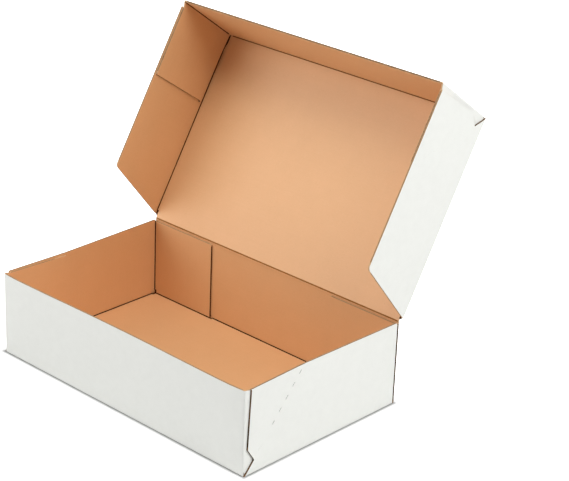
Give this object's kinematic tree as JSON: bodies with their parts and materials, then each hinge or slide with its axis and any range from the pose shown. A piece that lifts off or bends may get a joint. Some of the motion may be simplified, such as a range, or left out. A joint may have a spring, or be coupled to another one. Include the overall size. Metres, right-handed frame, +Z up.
{
  "type": "corrugated mailer box",
  "caption": "Open mailer box of white corrugated board, kraft inside: glued tray with a hinged lid whose walls close over the tray's walls.",
  "frame": {"origin": "centre of the tray's underside, on the surface that the box stands on", "axes": "+X along the front wall, +Y towards the hinge, +Z up"},
  "size_m": [0.3096, 0.2816, 0.2865],
  "materials": {
    "tray_board": "matte",
    "lid_board": "matte"
  },
  "bodies": {
    "tray": {"tray": "tray_board"},
    "lid": {"lid": "lid_board"}
  },
  "joints": [
    {"name": "lid_hinge", "type": "hinge", "parent": "tray", "child": "lid", "pos_m": [0, 0.09225, 0.07905], "axis": [-1, 0, 0], "range_deg": [-120.5, 79.5]}
  ]
}
